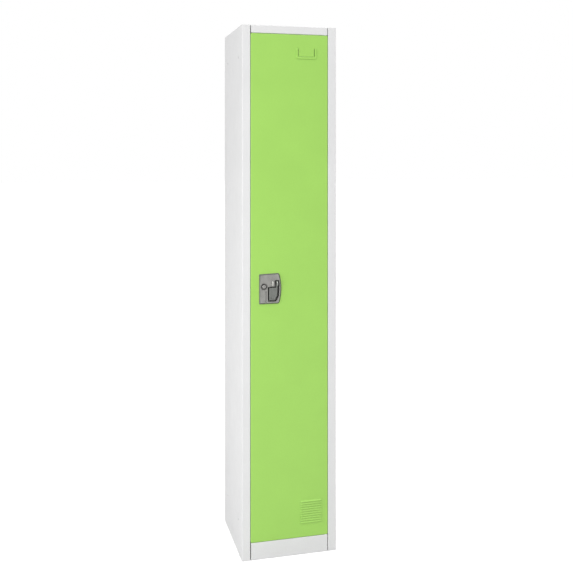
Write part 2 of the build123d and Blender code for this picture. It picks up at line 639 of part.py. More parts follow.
def cylinder_nut():
    """The hexagonal nut that clamps the cylinder in the housing."""
    nut = extrude(RegularPolygon(10.0, 6, major_radius=False), 3.5)
    nut = chamfer(nut.edges().filter_by(Axis.Z, reverse=True).group_by(Axis.Z)[-1], 0.6)
    nut -= Cylinder(BARREL_R + 0.05, 20)
    return placed(nut, (CYL_X, FRONT + 10, CYL_Z), (0, 1, 0))


def cylinder_plug():
    """The part the key turns: a round plug with a keyway, and a square tail for the cam."""
    out = PLATE_OUT + 1.4
    plug = spin([(0, -CAM_D), (PLUG_R, -CAM_D), (PLUG_R, out - 0.5), (PLUG_R - 0.5, out), (0, out)])
    plug += Pos(0, 0, -CAM_D) * Box(PLUG_SQUARE, PLUG_SQUARE, 4.8)
    plug -= Pos(0, 0, out) * Box(7.4, 1.4, 18)
    plug -= Pos(1.8, 0, out) * Box(1.8, 2.4, 18)
    plug -= Pos(0, 0, -CAM_D - 2) * Cylinder(1.5, 13)
    return Plane(origin=(CYL_X, FRONT, CYL_Z), x_dir=(0, 0, 1), z_dir=(0, -1, 0)) * plug


def lock_cam():
    """The locking bar on the plug. It stands up when unlocked."""
    d0, d1 = FRONT + CAM_D, FRONT + CAM_D + CAM_T
    tip_z = CYL_Z + CAM_REACH
    root, tip = CAM_HALF, CAM_HALF - 1
    outline = [(CYL_X - root, CYL_Z), (CYL_X + root, CYL_Z), (CYL_X + tip, tip_z), (CYL_X - tip, tip_z)]
    bar = prism("y", polygon(outline, [0, 0, 3.0, 3.0]), d0, d1)
    bar += rod("y", (CYL_X, CYL_Z), root, d0, d1)
    square = PLUG_SQUARE / 2 + 0.05
    return bar - block(CYL_X - square, CYL_X + square, d0 - 1, d1 + 1, CYL_Z - square, CYL_Z + square)


def pull_handle():
    """The paddle in the pocket, hinged on its left, with an arm behind that draws the latch."""
    face0 = FRONT - PADDLE_FRONT
    face1 = face0 + PADDLE_THICK
    outline = [
        (PADDLE_LEFT, PADDLE_BOTTOM),
        (-53.5, PADDLE_BOTTOM),
        (-45.5, 900.0),
        (-42.8, PADDLE_TOP),
        (PADDLE_NECK, PADDLE_TOP),
        (PADDLE_NECK, PADDLE_STEP),
        (PADDLE_LEFT, PADDLE_STEP),
    ]
    paddle = prism("y", polygon(outline, [2.0, 5.0, 8.0, 2.6, 2.0, 3.0, 2.0]), face0, face1)
    paddle = fillet(paddle.faces().sort_by(Axis.Y)[0].edges(), 0.9)
    for z in GRIP_Z:
        paddle -= block(-68, -56, face0 - 1, face0 + 0.5, z - 0.6, z + 0.6)
    pivot = (PIVOT_X, FRONT + PIVOT_D)
    paddle += rod("z", pivot, 2.8, PADDLE_BOTTOM, PADDLE_STEP - 1)
    paddle += block(PIVOT_X, PIVOT_X + 6, face1 - 0.5, face1 + 2, PADDLE_BOTTOM + 3, PADDLE_STEP - 1.5)
    paddle += block(PIVOT_X - 1.5, PIVOT_X + 1.5, FRONT + PIVOT_D, FRONT + 27.3, ARM_Z - 4, ARM_Z + 4)
    paddle += padlock_ear(PADDLE_NECK, face0 + 0.5)
    return paddle - rod("z", pivot, PIVOT_R + 0.05, POCKET_BOTTOM, POCKET_STEP)


def latch_tongue():
    """The sprung bolt. It stops behind the spring keeper and slides back towards the hinge side."""
    d0, d1 = FRONT + TONGUE_D, FRONT + TONGUE_D + TONGUE_T
    bolt = block(TONGUE_TIP, TONGUE_END, d0, d1, ARM_Z - TONGUE_HALF, ARM_Z + TONGUE_HALF)
    tip = bolt.faces().sort_by(Axis.X)[0].edges().filter_by(Axis.Z).sort_by(Axis.Y)[-1]
    bolt = chamfer(tip, 2.0)
    bolt -= block(PIVOT_X - 3.2, PIVOT_X + 3.6, d0 - 1, d1 + 1, ARM_Z - 6, ARM_Z + 6)
    return bolt + rod("x", ((d0 + d1) / 2, ARM_Z), 1.5, TONGUE_END - 1, TAB_X + 3.5)


def latch_guide():
    """A strap over the bolt that holds it to the backplate."""
    seat, thick = FRONT + BACKPLATE_D + BACKPLATE_T, 1.2
    over = FRONT + TONGUE_D + TONGUE_T + 0.3
    low, high = ARM_Z - TONGUE_HALF - 0.4 - thick, ARM_Z + TONGUE_HALF + 0.4 + thick
    section = [(seat, high + 5.4), (seat, high), (over, high)]
    section += [(over, low), (seat, low), (seat, low - 5.8)]
    return prism("x", bent_strip(section, thick, 0.3), GUIDE_LEFT, GUIDE_RIGHT)


def latch_spring():
    """The compression spring between the bolt's shoulder and the backplate's tab."""
    start, end, wire = TONGUE_END + 0.5, TAB_X - 0.5, 0.45
    coil = Helix(pitch=(end - start) / 9, height=end - start, radius=2.7)
    ring = Plane(origin=coil @ 0, z_dir=coil % 0) * Circle(wire)
    turns = sweep(ring, path=coil)
    return Plane(origin=(start, FRONT + TONGUE_D + TONGUE_T / 2, ARM_Z), z_dir=(1, 0, 0)) * turns


# ---- everything -----------------------------------------------------------------------------
def carcass():
    left = left_side_panel()
    save("left_side_panel", latch_side(left))
    save("right_side_panel", mirrored(left))
    save("back_panel", back_panel())
    save("top_panel", top_panel())
    save("bottom_panel", bottom_panel())
    save("hat_shelf", shelf_pan())
    bracket = left_shelf_bracket()
    save("left_shelf_bracket", bracket)
    save("right_shelf_bracket", mirrored(bracket))
    save("ceiling_hook", ceiling_hook())
    hook = left_coat_hook()
    save("left_coat_hook", hook)
    save("right_coat_hook", mirrored(hook))
    over, under = LINTEL_BOTTOM + SHEET, SILL_TOP - SHEET
    save("upper_frame_hinge_bracket", frame_hinge_bracket(over, over + 2))
    save("lower_frame_hinge_bracket", frame_hinge_bracket(under - 2, under))
    save("upper_hinge_pin", hinge_pin(DOOR_TOP - PIN_REACH, over + 4.5, head_low=False))
    save("lower_hinge_pin", hinge_pin(under - 4.5, DOOR_BOTTOM + PIN_REACH, head_low=True))
    save("spring_keeper", spring_keeper())
    save("door_bumpers", *[bumper(z) for z in BUMPER_Z])


def carcass_fasteners():
    screw = pan_screw(SCREW_R, 7.0)
    top = [placed(screw, (-RAIL_END + SHEET, y, z), (1, 0, 0)) for y, z in TOP_SCREW_YZ]
    save("top_panel_screws", *top, *[mirrored(s) for s in top])
    long_screw = pan_screw(SCREW_R, 9.0)
    kick = [placed(long_screw, (-RAIL_END + SHEET, y, z), (1, 0, 0)) for y, z in KICK_SCREW_YZ]
    save("kick_plate_screws", *kick, *[mirrored(s) for s in kick])
    tube = Cylinder(4.0, RAIL_GAP) - Cylinder(SCREW_HOLE_R, RAIL_GAP * 2)
    between = -(RAIL_END + JAMB) / 2
    spacers = [placed(tube, (between, y, z), (1, 0, 0)) for y, z in KICK_SCREW_YZ]
    save("kick_plate_spacers", *spacers, *[mirrored(s) for s in spacers])
    spots = [(s * BACK_SCREW_SIDE_X, z) for s in (-1, 1) for z in BACK_SCREW_SIDE_Z] + BACK_SCREW_DECK
    save("back_panel_screws", *[placed(screw, (x, BACK, z), (0, 1, 0)) for x, z in spots])
    seat = SHELF_TOP - SHELF_DEPTH - 1.5
    save("shelf_screws", *[placed(screw, (x, y, seat), (0, 0, -1)) for x, y in SHELF_SCREW_XY])
    hook_rivet = rivet(1.6, SHEET + 2.0)
    save("hook_rivets", *[placed(hook_rivet, (x, y, SHELF_TOP), (0, 0, 1)) for x, y in SHELF_HOOK_XY])
    keeper = placed(rivet(1.6, SHEET + KEEPER_T), (BUMPER_X, FRONT + JAMB_DEPTH, 0), (0, -1, 0))
    save("keeper_rivets", *[Pos(0, 0, z) * keeper for z in KEEPER_RIVET_Z])


def door():
    save("door_panel", door_panel())
    save("door_stiffener", door_stiffener())
    save("lower_door_hinge_bracket", door_hinge_bracket(DOOR_BOTTOM + SHEET, 1))
    save("upper_door_hinge_bracket", door_hinge_bracket(DOOR_TOP - SHEET, -1))
    save("lower_hinge_bush", hinge_bush(DOOR_BOTTOM, 1))
    save("upper_hinge_bush", hinge_bush(DOOR_TOP, -1))


def lock():
    save("lock_housing", lock_housing())
    save("lock_backplate", lock_backplate())
    seat = FRONT + BACKPLATE_D + BACKPLATE_T
    screw = pan_screw(SCREW_R, 9.0, head_r=3.4, head_h=2.0)
    save("lock_screws", *[placed(screw, (x, seat, z), (0, 1, 0)) for x, z in LOCK_SCREWS])
    save("cylinder_barrel", cylinder_barrel())
    save("cylinder_nut", cylinder_nut())
    save("cylinder_plug", cylinder_plug())
    save("lock_cam", lock_cam())
    cam_screw = pan_screw(1.45, 6.0, head_r=4.2, head_h=2.0)
    save("cam_screw", placed(cam_screw, (CYL_X, FRONT + 22.8, CYL_Z), (0, 1, 0)))
    save("handle_pin", rod("z", (PIVOT_X, FRONT + PIVOT_D), PIVOT_R, *PIN_ENDS))
    save("pull_handle", pull_handle())
    save("latch_tongue", latch_tongue())
    save("latch_guide", latch_guide())
    save("latch_spring", latch_spring())


os.makedirs("parts", exist_ok=True)
carcass()
carcass_fasteners()
door()
lock()
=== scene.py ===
import json
import math

import bmesh
import bpy
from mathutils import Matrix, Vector


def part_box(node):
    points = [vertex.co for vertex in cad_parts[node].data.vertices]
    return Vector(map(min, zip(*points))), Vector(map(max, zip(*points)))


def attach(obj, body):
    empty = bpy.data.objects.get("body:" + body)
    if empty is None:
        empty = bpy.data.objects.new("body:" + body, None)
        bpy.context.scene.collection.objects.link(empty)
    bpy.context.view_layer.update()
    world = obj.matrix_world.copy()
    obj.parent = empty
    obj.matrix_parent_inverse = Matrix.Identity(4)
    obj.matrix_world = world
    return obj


# A single-tier steel school locker: grey powder-coated cabinet, green door, grey recessed lock.
# Metres, in the CAD's frame. The CAD shapes are kept, and this script gives them their finishes.

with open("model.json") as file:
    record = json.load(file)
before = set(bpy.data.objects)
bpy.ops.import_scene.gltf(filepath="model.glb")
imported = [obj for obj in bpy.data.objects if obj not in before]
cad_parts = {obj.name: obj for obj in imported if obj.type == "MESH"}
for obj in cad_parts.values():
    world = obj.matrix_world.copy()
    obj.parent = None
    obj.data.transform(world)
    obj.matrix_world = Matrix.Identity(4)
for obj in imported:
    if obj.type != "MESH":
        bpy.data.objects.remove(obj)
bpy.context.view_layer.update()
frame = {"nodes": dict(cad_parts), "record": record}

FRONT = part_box("left_side_panel")[0].y
LOCK_PLATE_OUT = 0.005
PLATE_FACE = FRONT - LOCK_PLATE_OUT

# ---- camera ------------------------------------------------------------------------------------
CAMERA_PLACE = Vector((-0.714, FRONT - 2.737, 1.382))
CAMERA_HEADING = math.radians(-14.40)
CAMERA_LENS = 51.46
SENSOR = 36.0
LENS_SHIFT = -0.2285
SHIFT_REACH = 0.001
CLIP_START = 0.05


def make_camera():
    """A level camera whose lens is shifted down, so that the locker's uprights stay upright."""
    camera = bpy.data.cameras.new("camera")
    camera.lens = CAMERA_LENS
    camera.sensor_width = SENSOR
    camera.clip_start = CLIP_START
    holder = bpy.data.objects.new("camera", camera)
    bpy.context.scene.collection.objects.link(holder)
    holder.location = CAMERA_PLACE
    holder.rotation_euler = (math.radians(90), 0, CAMERA_HEADING)
    bpy.context.scene.camera = holder
    shift_only_at(holder, camera, CAMERA_PLACE)


def shift_only_at(holder, camera, place):
    """Drives the lens shift, so that it is on at the camera's own place and off anywhere else."""
    driver = camera.driver_add("shift_y").driver
    driver.type = "SCRIPTED"
    for name, channel in (("x", "LOC_X"), ("y", "LOC_Y")):
        variable = driver.variables.new()
        variable.name = name
        variable.type = "TRANSFORMS"
        variable.targets[0].id = holder
        variable.targets[0].transform_type = channel
    away = f"abs(x - ({place.x:.5f})) + abs(y - ({place.y:.5f}))"
    driver.expression = f"{LENS_SHIFT} if {away} < {SHIFT_REACH} else 0.0"


# ---- shader building blocks ----------------------------------------------------------------------
# A band is the pair of values between which something sets in. The edges' band is a pair of cosines.
SHADER_SAMPLES = 6
WHOLE = (0.0, 1.0)
NOISE_BAND = (0.3, 0.7)
EDGE_BAND = (0.97, 0.75)
CREVICE_BAND = (0.85, 0.25)
WEAR_START = 0.62
WEAR_PER_COVERAGE = 0.3
WEAR_BLEND = 0.08


def add(tree, kind, inputs=None, **settings):
    """Adds a node. An input given as another node's socket is linked to it."""
    node = tree.nodes.new(kind)
    for name, value in settings.items():
        setattr(node, name, value)
    for key, value in (inputs or {}).items():
        if isinstance(value, bpy.types.NodeSocket):
            tree.links.new(value, node.inputs[key])
        else:
            node.inputs[key].default_value = value
    return node


def place_of(tree):
    """The shaded point in the CAD's frame at rest."""
    return add(tree, "ShaderNodeTexCoord").outputs["Object"]


def stretched(tree, where, scale):
    """A place scaled along each axis, which stretches a pattern drawn from it."""
    return add(tree, "ShaderNodeMapping", {"Vector": where, "Scale": scale}).outputs["Vector"]


def noise(tree, where, scale, detail=2.0):
    """Noise from 0 to 1, with scale in features per metre."""
    inputs = {"Vector": where, "Scale": scale, "Detail": detail}
    return add(tree, "ShaderNodeTexNoise", inputs).outputs["Fac"]


def spread(tree, value, low, high, to_low=0.0, to_high=1.0):
    """Maps low..high to to_low..to_high, and holds it at the ends."""
    inputs = {"Value": value, "From Min": low, "From Max": high, "To Min": to_low, "To Max": to_high}
    return add(tree, "ShaderNodeMapRange", inputs).outputs["Result"]


def patches(tree, where, scale, detail=2.0, band=NOISE_BAND, to=WHOLE):
    """Patchy noise, with its band spread over another pair of values."""
    return spread(tree, noise(tree, where, scale, detail), *band, *to)


def maths(tree, operation, first, second=0.0):
    """A sum on numbers."""
    return add(tree, "ShaderNodeMath", {0: first, 1: second}, operation=operation).outputs["Value"]


def times(tree, first, second):
    """One number times another."""
    return maths(tree, "MULTIPLY", first, second)


def vectors(tree, operation, first, second, output="Vector"):
    """A sum on vectors."""
    return add(tree, "ShaderNodeVectorMath", {0: first, 1: second}, operation=operation).outputs[output]


def tint(tree, amount, first, second):
    """Mixes two colours. The mix node keeps its colour sockets at 6 and 7, and its result at 2."""
    inputs = {0: amount, 6: rgba(first), 7: rgba(second)}
    return add(tree, "ShaderNodeMix", inputs, data_type="RGBA").outputs[2]


def rgba(colour):
    """A colour with its alpha, or the socket that gives one."""
    return colour if isinstance(colour, bpy.types.NodeSocket) else (*colour, 1.0)


def scaled(colour, factor):
    """A lighter or darker shade of a colour."""
    return tuple(min(1.0, c * factor) for c in colour)


def soft_edges(tree, radius):
    """A normal that rounds the sharp edges of sheet and castings."""
    return add(tree, "ShaderNodeBevel", {"Radius": radius}, samples=SHADER_SAMPLES).outputs["Normal"]


def edge_mask(tree, rounded, where, patch_scale, coverage):
    """Where an edge is, broken up into patches. A higher coverage shows more of the edge."""
    flat = add(tree, "ShaderNodeNewGeometry").outputs["Normal"]
    edge = spread(tree, vectors(tree, "DOT_PRODUCT", rounded, flat, "Value"), *EDGE_BAND)
    start = WEAR_START - WEAR_PER_COVERAGE * coverage
    worn = patches(tree, where, patch_scale, detail=4.0, band=(start, start + WEAR_BLEND))
    return times(tree, edge, worn)


def crevice_mask(tree, reach):
    """How enclosed a point is by what lies within reach."""
    inputs = {"Distance": reach}
    occlusion = add(tree, "ShaderNodeAmbientOcclusion", inputs, samples=SHADER_SAMPLES)
    return spread(tree, occlusion.outputs["AO"], *CREVICE_BAND)


def shade_folds(tree, base, colour, fold_shade):
    """Paints shade into a finish's folds, where it is enclosed. The fold shade is (reach, share, shade).
    """
    reach, share, shade = fold_shade
    return tint(tree, times(tree, crevice_mask(tree, reach), share), base, scaled(colour, shade))


def varied(tree, mask, colour, amount):
    """Takes a colour from a little darker to a little lighter along a mask."""
    return tint(tree, mask, scaled(colour, 1 - amount), scaled(colour, 1 + amount))


def bumps(tree, normal, layers):
    """Adds height layers, each (height socket, depth in metres), to a normal."""
    for height, depth in layers:
        inputs = {"Height": height, "Distance": depth, "Strength": 1.0, "Normal": normal}
        normal = add(tree, "ShaderNodeBump", inputs).outputs["Normal"]
    return normal


def new_material(name):
    """An empty material and its node tree."""
    material = bpy.data.materials.new(name)
    material.use_nodes = True
    material.node_tree.nodes.clear()
    return material, material.node_tree


def close(tree, inputs):
    """Ends a material in one principled shader."""
    shader = add(tree, "ShaderNodeBsdfPrincipled", inputs)
    output = add(tree, "ShaderNodeOutputMaterial")
    tree.links.new(shader.outputs["BSDF"], output.inputs["Surface"])


# ---- the finishes ----------------------------------------------------------------------------------
# Noise scales are in features per metre, the ring frequency in radians per metre, and depths, edges and
# reaches in metres. A shade is a factor on the finish's own colour, and a share is how much of it shows
# where its mask is full. A fold shade is painted shade in enclosed folds, as (reach, share, shade).
# Colours are linear.
PRIMER = (0.62, 0.62, 0.60)
PAINT_EDGE = 0.0006
PAINT_FOLD_SHADE = (0.004, 0.15, 0.72)
MOTTLE_SCALE = 9.0
MOTTLE_AMOUNT = 0.02
SPECK_SCALE = 900.0
SPECK_BAND = (0.54, 0.66)
SPECK_SHADE = 0.94
CHIP_SCALE = 70.0
CHIP_SHARE = 0.55
GLOSS_SCALE = 24.0
PAINT_SMOOTHER = 0.04
PAINT_ROUGHER = 0.06
PEEL_SCALE = 380.0
PEEL_DEPTH = 0.00009
FINE_PEEL_SCALE = 1400.0
FINE_PEEL_DEPTH = 0.000016
SCUFF_STRETCH = (30.0, 30.0, 260.0)
SCUFF_BAND = (0.62, 0.72)
SCUFF_SHADE = 0.80
SCUFF_DULLING = 0.2

CAST_EDGE = 0.0007
CAST_FOLD_SHADE = (0.009, 0.55, 0.25)
CLOUD_SCALE = 42.0
CLOUD_AMOUNT = 0.16
FLECK_SCALE = 1600.0
FLECK_BAND = (0.56, 0.66)
FLECK_SHADE = 1.4
# The flank shade is painted shade on the plate's sloping sides and recess walls.
FLANK_BAND = (0.95, 0.70)
FLANK_FADE = 0.0008
FLANK_SHARE = 0.85
FLANK_SHADE = 0.18
RUB_SCALE = 160.0
RUB_SHARE = 0.5
RUB_SHADE = 2.0
# The front highlight is painted light on what stands out furthest from the plate's face.
HIGHLIGHT_FROM = 0.001
HIGHLIGHT_FULLY = 0.004
HIGHLIGHT_SHARE = 0.75
HIGHLIGHT_LIFT = 2.6
CAST_GLOSS_SCALE = 130.0
CAST_ROUGHNESS = (0.36, 0.50)
GRAIN_SCALE = 2100.0
GRAIN_DEPTH = 0.00003
HOLLOW_SCALE = 420.0
HOLLOW_DEPTH = 0.00004

TURNED_EDGE = 0.0004
TURNED_FOLD_SHADE = (0.003, 0.8, 0.15)
TURNED_GLOSS_SCALE = 700.0
TURNED_ROUGHNESS = (0.18, 0.30)
RING_FREQUENCY = 24000.0
RING_DEPTH = 0.000008

FINE_EDGE = 0.0003
SMOOTHER = 0.06
ROUGHER = 0.08
BARE_FOLD_SHADE = (0.004, 0.6, 0.2)
TONE_SCALE = 120.0
TONE_BAND = (0.35, 0.65)
LINE_SCALE = 1500.0
LINE_DEPTH = 0.00001
MOULD_FOLD_SHADE = (0.003, 0.4, 0.5)
MOULD_CLOUD_SCALE = 200.0
MOULD_CLOUD_AMOUNT = 0.1
MOULD_GLOSS_SCALE = 500.0
MOULD_SCATTER = 0.001

GREY = (0.660, 0.660, 0.662)
GREEN = (0.316, 0.580, 0.104)
HOUSING_ZINC = (0.285, 0.282, 0.266)
HANDLE_ZINC = (0.178, 0.186, 0.172)
NICKEL = (0.62, 0.61, 0.58)
# Painted shade: the cylinder's barrel is coloured near black to stand for the shadow ring round the plug.
RING_SHADE_BLACK = (0.10, 0.10, 0.095)
ZINC_PLATING = ((0.40, 0.415, 0.43), (0.46, 0.445, 0.395))
SPRING_STEEL = ((0.40, 0.40, 0.41), (0.33, 0.32, 0.30))
BRIGHT_PLATING = ((0.74, 0.73, 0.70), (0.68, 0.67, 0.65))
NYLON = (0.80, 0.80, 0.74)
RUBBER = (0.025, 0.025, 0.026)
INNER_SHADE = 0.97


def powder_coat(name, colour, roughness=0.36, wear=0.25, scuffs=0.0):
    """Semi-gloss powder coat: orange peel, faint mottling, painted shade in the folds and a little edge
    wear.
    """
    material, tree = new_material(name)
    where = place_of(tree)
    rounded = soft_edges(tree, PAINT_EDGE)
    mottled = varied(tree, patches(tree, where, MOTTLE_SCALE, detail=3.0), colour, MOTTLE_AMOUNT)
    specks = patches(tree, where, SPECK_SCALE, band=SPECK_BAND)
    specked = tint(tree, specks, mottled, scaled(colour, SPECK_SHADE))
    # Painted shade: the coat is darkened where the occlusion mask finds folds, seams and corners.
    shaded_folds = shade_folds(tree, specked, colour, PAINT_FOLD_SHADE)
    chips = times(tree, edge_mask(tree, rounded, where, CHIP_SCALE, wear), CHIP_SHARE)
    base = tint(tree, chips, shaded_folds, PRIMER)
    smooth_to_rough = (roughness - PAINT_SMOOTHER, roughness + PAINT_ROUGHER)
    gloss = patches(tree, where, GLOSS_SCALE, detail=4.0, to=smooth_to_rough)
    layers = [
        (noise(tree, where, PEEL_SCALE, detail=1.0), PEEL_DEPTH),
        (noise(tree, where, FINE_PEEL_SCALE, detail=1.0), FINE_PEEL_DEPTH),
    ]
    if scuffs:
        along = stretched(tree, where, SCUFF_STRETCH)
        marks = times(tree, patches(tree, along, 1.0, detail=6.0, band=SCUFF_BAND), scuffs)
        base = tint(tree, marks, base, scaled(colour, SCUFF_SHADE))
        gloss = maths(tree, "ADD", gloss, times(tree, marks, SCUFF_DULLING))
    close(tree, {
        "Base Color": base,
        "Roughness": gloss,
        "Specular IOR Level": 0.4,
        "Coat Weight": 0.22,
        "Coat Roughness": 0.20,
        "Normal": bumps(tree, rounded, layers),
    })
    return material


def cast_zinc(name, colour, metallic, wear):
    """Lacquered die casting: cast grain, painted shade on its flanks and in its recesses, edges rubbed
    bright, and a painted highlight where it stands out.
    """
    material, tree = new_material(name)
    where = place_of(tree)
    rounded = soft_edges(tree, CAST_EDGE)
    cloudy = varied(tree, patches(tree, where, CLOUD_SCALE, detail=4.0), colour, CLOUD_AMOUNT)
    flecks = patches(tree, where, FLECK_SCALE, band=FLECK_BAND)
    flecked = tint(tree, flecks, cloudy, scaled(colour, FLECK_SHADE))
    # Painted shade: the casting is darkened in its recesses and pocket where the occlusion mask finds
    # them enclosed.
    shaded_recesses = shade_folds(tree, flecked, colour, CAST_FOLD_SHADE)
    # Painted shade: the plate's sloping sides and recess walls are darkened.
    flank_shading = times(tree, flank_shade_mask(tree, where), FLANK_SHARE)
    flank_shaded = tint(tree, flank_shading, shaded_recesses, scaled(colour, FLANK_SHADE))
    edges = times(tree, edge_mask(tree, rounded, where, RUB_SCALE, wear), RUB_SHARE)
    rubbed = tint(tree, edges, flank_shaded, scaled(colour, RUB_SHADE))
    # Painted highlight: what stands furthest out from the plate's face, such as the padlock ears, is
    # lightened.
    nearer, nearest = PLATE_FACE - HIGHLIGHT_FROM, PLATE_FACE - HIGHLIGHT_FULLY
    front_highlight = spread(tree, depth_of(tree, where), nearer, nearest, 0.0, HIGHLIGHT_SHARE)
    grain = noise(tree, where, GRAIN_SCALE)
    hollows = noise(tree, where, HOLLOW_SCALE, detail=3.0)
    close(tree, {
        "Base Color": tint(tree, front_highlight, rubbed, scaled(colour, HIGHLIGHT_LIFT)),
        "Metallic": metallic,
        "Roughness": patches(tree, where, CAST_GLOSS_SCALE, detail=4.0, to=CAST_ROUGHNESS),
        "Normal": bumps(tree, rounded, [(grain, GRAIN_DEPTH), (hollows, HOLLOW_DEPTH)]),
    })
    return material


def depth_of(tree, vector):
    """The part of a vector that runs from the locker's front to its back."""
    return add(tree, "ShaderNodeSeparateXYZ", {"Vector": vector}).outputs["Y"]


def flank_shade_mask(tree, where):
    """Where shade is painted: the sloping sides of the lock plate and the walls of its recesses, behind
    the plate's face.
    """
    normal = add(tree, "ShaderNodeNewGeometry").outputs["True Normal"]
    facing = maths(tree, "ABSOLUTE", depth_of(tree, normal))
    behind = spread(tree, depth_of(tree, where), PLATE_FACE, PLATE_FACE + FLANK_FADE)
    return times(tree, spread(tree, facing, *FLANK_BAND), behind)


def turned_metal(name, colour, centre):
    """Nickel-plated turned metal, with rings round an axis along Y through centre."""
    material, tree = new_material(name)
    where = place_of(tree)
    rounded = soft_edges(tree, TURNED_EDGE)
    flat = vectors(tree, "MULTIPLY", vectors(tree, "SUBTRACT", where, centre), (1.0, 0.0, 1.0))
    radius = add(tree, "ShaderNodeVectorMath", {0: flat}, operation="LENGTH").outputs["Value"]
    rings = maths(tree, "SINE", times(tree, radius, RING_FREQUENCY))
    close(tree, {
        # Painted shade: the metal is darkened in its enclosed folds.
        "Base Color": shade_folds(tree, colour, colour, TURNED_FOLD_SHADE),
        "Metallic": 1.0,
        "Roughness": patches(tree, where, TURNED_GLOSS_SCALE, to=TURNED_ROUGHNESS),
        "Normal": bumps(tree, rounded, [(rings, RING_DEPTH)]),
    })
    return material


def bare_metal(name, colour, second, roughness, brush=(1.0, 1.0, 1.0)):
    """Plated or bare steel: drawn lines along one direction, with patches of a second tone."""
    material, tree = new_material(name)
    where = place_of(tree)
    rounded = soft_edges(tree, FINE_EDGE)
    toned = tint(tree, patches(tree, where, TONE_SCALE, detail=4.0, band=TONE_BAND), colour, second)
    lines = noise(tree, stretched(tree, where, brush), LINE_SCALE, detail=3.0)
    close(tree, {
        # Painted shade: the steel is darkened in its enclosed folds.
        "Base Color": shade_folds(tree, toned, colour, BARE_FOLD_SHADE),
        "Metallic": 1.0,
        "Roughness": spread(tree, lines, *NOISE_BAND, roughness - SMOOTHER, roughness + ROUGHER),
        "Normal": bumps(tree, rounded, [(lines, LINE_DEPTH)]),
    })
    return material


def moulded(name, colour, roughness, grain, depth, softness=0.0):
    """Moulded nylon or rubber: a fine grain and uneven gloss."""
    material, tree = new_material(name)
    where = place_of(tree)
    rounded = soft_edges(tree, FINE_EDGE)
    clouds = noise(tree, where, MOULD_CLOUD_SCALE, detail=3.0)
    cloudy = varied(tree, clouds, colour, MOULD_CLOUD_AMOUNT)
    smooth_to_rough = (roughness - SMOOTHER, roughness + ROUGHER)
    close(tree, {
        # Painted shade: the moulding is darkened in its enclosed folds.
        "Base Color": shade_folds(tree, cloudy, colour, MOULD_FOLD_SHADE),
        "Roughness": patches(tree, where, MOULD_GLOSS_SCALE, detail=3.0, to=smooth_to_rough),
        "Subsurface Weight": softness,
        "Subsurface Scale": MOULD_SCATTER,
        "Normal": bumps(tree, rounded, [(noise(tree, where, grain), depth)]),
    })
    return material


def cylinder_axis():
    """The middle of the key cylinder."""
    low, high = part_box("cylinder_barrel")
    return (low + high) / 2


def make_finishes():
    """One material for each slot of the record."""
    inner_grey = scaled(GREY, INNER_SHADE)
    return {
        "body_paint": powder_coat("body_paint", GREY),
        "inner_paint": powder_coat("inner_paint", inner_grey, roughness=0.42, wear=0.5, scuffs=0.25),
        "door_paint": powder_coat("door_paint", GREEN),
        "zinc_housing": cast_zinc("zinc_housing", HOUSING_ZINC, metallic=0.35, wear=0.6),
        "zinc_handle": cast_zinc("zinc_handle", HANDLE_ZINC, metallic=0.30, wear=0.5),
        "bright_cylinder": turned_metal("bright_cylinder", NICKEL, cylinder_axis()),
        # Painted shade: the near-black barrel stands for the shadow ring round the plug.
        "dark_cylinder": cast_zinc("dark_cylinder", RING_SHADE_BLACK, metallic=0.4, wear=0.3),
        "zinc_plated": bare_metal("zinc_plated", *ZINC_PLATING, roughness=0.44),
        "spring_steel": bare_metal("spring_steel", *SPRING_STEEL, roughness=0.30, brush=(1.0, 1.0, 0.05)),
        "hook_plate": bare_metal("hook_plate", *BRIGHT_PLATING, roughness=0.20),
        "nylon": moulded("nylon", NYLON, roughness=0.42, grain=900.0, depth=0.00002, softness=0.2),
        "rubber": moulded("rubber", RUBBER, roughness=0.62, grain=1400.0, depth=0.00004),
    }


def dress_nodes(finishes):
    """Gives each CAD node the finish of its slot in the record."""
    slots = {part["node"]: part["material_slot"] for part in frame["record"]["subparts"]}
    for name, node in frame["nodes"].items():
        node.data.materials.clear()
        node.data.materials.append(finishes[slots[name]])


# ---- spot welds ------------------------------------------------------------------------------------
# The profile runs from the rim to the middle, as (share of the radius, height above the sheet).
WELD_RADIUS = 0.0026
WELD_PROFILE = ((1.0, -0.0003), (1.0, 0.0), (0.84, 0.00018), (0.60, 0.00004), (0.0, 0.00002))
WELD_SIDES = 20
SHEET = 0.0008
STIFFENER_WELDS = 13
STIFFENER_WELD_INSET = 0.006
STIFFENER_END_GAP = 0.05
BRACKET_WELDS = 5
BRACKET_SHEET = 0.0015
BRACKET_WELD_RISE = 0.0075
BRACKET_END_GAP = 0.02


def weld_mark(shape, turn, place):
    """Adds one shallow dished ring to the mesh. Turn takes Z to the sheet's normal."""
    rings = []
    for share, height in WELD_PROFILE[:-1]:
        radius = WELD_RADIUS * share
        angles = [2 * math.pi * k / WELD_SIDES for k in range(WELD_SIDES)]
        ring = [Vector((radius * math.cos(a), radius * math.sin(a), height)) for a in angles]
        rings.append([shape.verts.new(turn @ point + place) for point in ring])
    crown = shape.verts.new(turn @ Vector((0, 0, WELD_PROFILE[-1][1])) + place)
    shape.faces.new(rings[0][::-1])
    for k in range(WELD_SIDES):
        after = (k + 1) % WELD_SIDES
        for low, high in zip(rings, rings[1:]):
            shape.faces.new((low[k], low[after], high[after], high[k]))
        shape.faces.new((rings[-1][k], rings[-1][after], crown))


